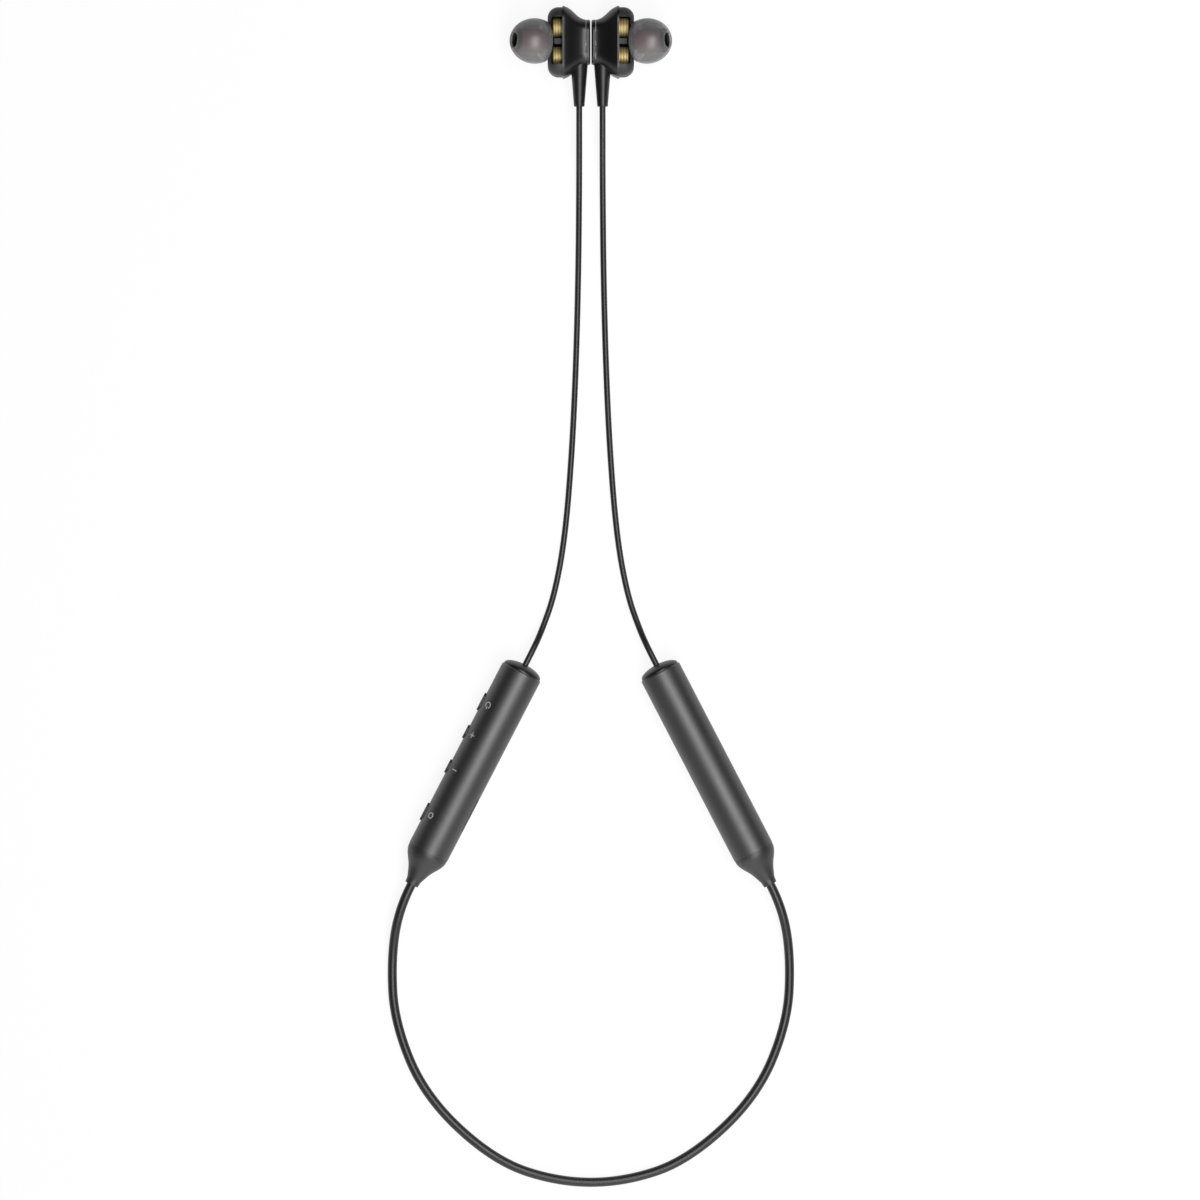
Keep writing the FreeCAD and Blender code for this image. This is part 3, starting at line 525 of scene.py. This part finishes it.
# grain is in patches per millimetre, relief and pitch are in millimetres
shell = moulded(
    "satinShell", (0.004, 0.004, 0.0045), (0.007, 0.007, 0.0075),
    rough=0.49, grain=9.0, relief=0.01, level=1.0, coat=0.2)
capPlastic = moulded(
    "capPlastic", (0.003, 0.003, 0.0035), (0.005, 0.005, 0.0055),
    rough=0.4, grain=9.0, relief=0.01)
bootRubber = moulded(
    "bootRubber", (0.006, 0.006, 0.0065), (0.009, 0.009, 0.0095),
    rough=0.5, grain=7.0, relief=0.012, level=0.8)
jacket = moulded(
    "cableJacket", (0.004, 0.004, 0.0045), (0.007, 0.007, 0.0075),
    rough=0.42, grain=12.0, relief=0.008, level=0.6)
reliefRubber = moulded(
    "reliefRubber", (0.004, 0.004, 0.0045), (0.006, 0.006, 0.0065),
    rough=0.4, grain=12.0, relief=0.006)
budShell = moulded(
    "budShell", (0.003, 0.003, 0.0033), (0.005, 0.005, 0.0053),
    rough=0.36, grain=14.0, relief=0.003, level=0.6)
frontShell = moulded(
    "frontShell", (0.014, 0.014, 0.015), (0.022, 0.022, 0.023),
    rough=0.55, grain=9.0, relief=0.01)
keyPlastic = moulded(
    "keyPlastic", (0.004, 0.004, 0.0045), (0.007, 0.007, 0.0075),
    rough=0.45, grain=10.0, relief=0.01, level=0.6)
carrierPlastic = moulded(
    "carrierPlastic", (0.008, 0.008, 0.009), (0.012, 0.012, 0.013),
    rough=0.5, grain=8.0, relief=0.01)
printInk = moulded(
    "printInk", (0.42, 0.42, 0.43), (0.50, 0.50, 0.51),
    rough=0.5, grain=12.0, relief=0.004)
coverRubber = moulded(
    "coverRubber", (0.010, 0.010, 0.011), (0.015, 0.015, 0.016),
    rough=0.6, grain=7.0, relief=0.01)
boardLaminate = moulded(
    "boardLaminate", (0.01, 0.09, 0.035), (0.015, 0.13, 0.05),
    rough=0.35, grain=5.0, relief=0.01)
partBody = moulded(
    "partBody", (0.02, 0.02, 0.02), (0.03, 0.03, 0.03),
    rough=0.4, grain=8.0, relief=0.01)
wireJacket = moulded(
    "wireJacket", (0.38, 0.02, 0.015), (0.48, 0.03, 0.02),
    rough=0.4, grain=6.0, relief=0.01)
foam = moulded(
    "foam", (0.08, 0.08, 0.08), (0.13, 0.13, 0.13),
    rough=0.9, grain=3.0, relief=0.06)
lampPlastic = moulded(
    "lampPlastic", (0.55, 0.55, 0.52), (0.68, 0.68, 0.65),
    rough=0.25, grain=5.0, relief=0.004)
tipSilicone = silicone(
    "tipSilicone", (0.15, 0.15, 0.154), rough=0.35, least=0.5, most=0.66, level=1.0)
# painted shade: the wall of the tip's mouth is coloured near black where the opening into the tip
# lies in shade
paintedMouthShade = moulded(
    "paintedMouthShade", (0.003, 0.003, 0.003), (0.005, 0.005, 0.005),
    rough=0.6, grain=8.0, relief=0.004, level=0.2)
coreSilicone = {}
for side in sideSigns:
    coreSilicone[side] = tintedCore(
        side + "CoreSilicone", side, (0.50, 0.03, 0.03), (0.60, 0.045, 0.045),
        boreShade=(0.003, 0.003, 0.003))
brass = ribbedBrass("turnedBrass", (0.62, 0.49, 0.22), (0.26, 0.19, 0.07), rough=0.55, pitch=0.8)
nickel = metal(
    "nickelPlate", (0.62, 0.61, 0.58), (0.52, 0.51, 0.49), rough=0.22, grain=2.0, relief=0.005)
cellCan = metal(
    "cellCan", (0.66, 0.67, 0.70), (0.56, 0.57, 0.60), rough=0.35, grain=1.0, relief=0.01)
gauze = wovenWire("wireGauze", (0.34, 0.34, 0.35), holeShade=(0.01, 0.01, 0.01), rough=0.35, pitch=0.22)

nodeFinishes = {
    "left_barrel": shell, "right_barrel": shell, "port_bezel": shell,
    "left_end_cap": capPlastic, "right_end_cap": capPlastic,
    "left_neck_boot": bootRubber, "right_neck_boot": bootRubber,
    "power_button": keyPlastic, "next_button": keyPlastic,
    "previous_button": keyPlastic, "mode_button": keyPlastic,
    "tact_switches": nickel, "control_board": boardLaminate, "protection_board": boardLaminate,
    "radio_chip": partBody, "board_components": partBody, "antenna": lampPlastic,
    "microphone": nickel, "microphone_gasket": coverRubber, "status_lamp": lampPlastic,
    "light_pipe": lampPlastic, "board_wires": wireJacket, "battery_leads": wireJacket,
    "through_wires": wireJacket, "charge_port": nickel, "charge_port_tongue": partBody,
    "port_cover": coverRubber, "battery_cell": cellCan, "battery_pads": foam,
}
budFinishes = {
    "rear_shell": budShell, "back_cap": budShell, "magnet": nickel, "front_housing": frontShell,
    "nozzle_mesh": gauze, "driver_carrier": carrierPlastic, "upper_driver": brass,
    "lower_driver": brass, "strain_relief": reliefRubber,
}


def dress(piece, material):
    if not piece.material_slots:
        piece.data.materials.append(None)
    for slot in piece.material_slots:
        slot.material = material


for node, material in nodeFinishes.items():
    dress(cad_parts[node], material)
for side in sideSigns:
    for node, material in budFinishes.items():
        dress(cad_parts[side + "_" + node], material)
    dress(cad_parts[side + "_tip_core"], coreSilicone[side])
    dress(tipPieces[side], tipSilicone)
    tipPieces[side].material_slots[1].material = paintedMouthShade
for piece in cordPieces:
    dress(piece, jacket)
for piece in markPieces:
    dress(piece, printInk)
print("finishes given")

# floor, room and softbox, in metres and watts; lift and mirrorLift are shares of plain white
studio = {
    "floorSize": 12.0, "floorColor": (0.97, 0.97, 0.97), "lift": 0.88, "mirrorLift": 0.4,
    "sky": 0.02, "near": 1.6, "wallSlope": -1.6, "wallStart": -0.5, "horizon": 9.0,
    "box": (0.17, -0.12, 0.75), "boxWidth": 0.34, "boxLength": 0.85, "boxPower": 6.9,
}


def makeFloor():
    half = studio["floorSize"] / 2 / mm
    corners = [(-half, -half, 0), (half, -half, 0), (half, half, 0), (-half, half, 0)]
    floor = newPiece("floor", corners, [(0, 1, 2, 3)])
    finish = Finish("paleFloor")
    seen, mirrored, through, veils = finish.rays(
        "Is Camera Ray", "Is Glossy Ray", "Is Transmission Ray", "Transparent Depth")
    bare = 1 - finish.mathNode("MINIMUM", veils, 1.0)  # plain behind clear silicone
    lit = finish.node("ShaderNodeBsdfDiffuse", None, {"Color": (*studio["floorColor"], 1)})
    plain = finish.node("ShaderNodeEmission", None, {"Color": (1, 1, 1, 1), "Strength": 1.0})
    share = (seen * studio["lift"] + (mirrored + through) * studio["mirrorLift"]) * bare
    mixed = finish.node("ShaderNodeMixShader", None, {0: share, 1: lit, 2: plain})
    dress(floor, finish.show(mixed))


def makeSky():
    # white to the camera, and low down in mirror images too; to the object otherwise
    # a dim room with a pale wall on the near side
    air = Finish("studioAir", bpy.data.worlds)
    seen, mirrored, through = air.rays("Is Camera Ray", "Is Glossy Ray", "Is Transmission Ray")
    way = air.node("ShaderNodeTexCoord")
    nearness = air.node("ShaderNodeSeparateXYZ", None, {"Vector": way}, "Y")
    height = air.node("ShaderNodeSeparateXYZ", None, {"Vector": way}, "Z")
    wall = air.mathNode(
        "MULTIPLY_ADD", nearness, studio["wallSlope"], studio["wallStart"], clamp=True)
    rise = air.mathNode("ABSOLUTE", height)
    low = air.mathNode("SUBTRACT", 1.0, rise * studio["horizon"], clamp=True)
    shown = seen + (mirrored + through) * low
    room = wall * studio["near"] + studio["sky"]
    sky = air.node("ShaderNodeBackground", None, {
        "Color": (1, 1, 1, 1), "Strength": shown + room - room * shown})
    bpy.context.scene.world = air.show(sky, "ShaderNodeOutputWorld")


def makeLight():
    softbox = bpy.data.lights.new("softbox", "AREA")
    softbox.shape = "RECTANGLE"
    softbox.size, softbox.size_y = studio["boxWidth"], studio["boxLength"]
    softbox.energy = studio["boxPower"]
    placed("softbox", softbox).location = studio["box"]


makeFloor()
makeSky()
makeLight()
bpy.context.scene.view_settings.view_transform = "Standard"
print("studio lit")
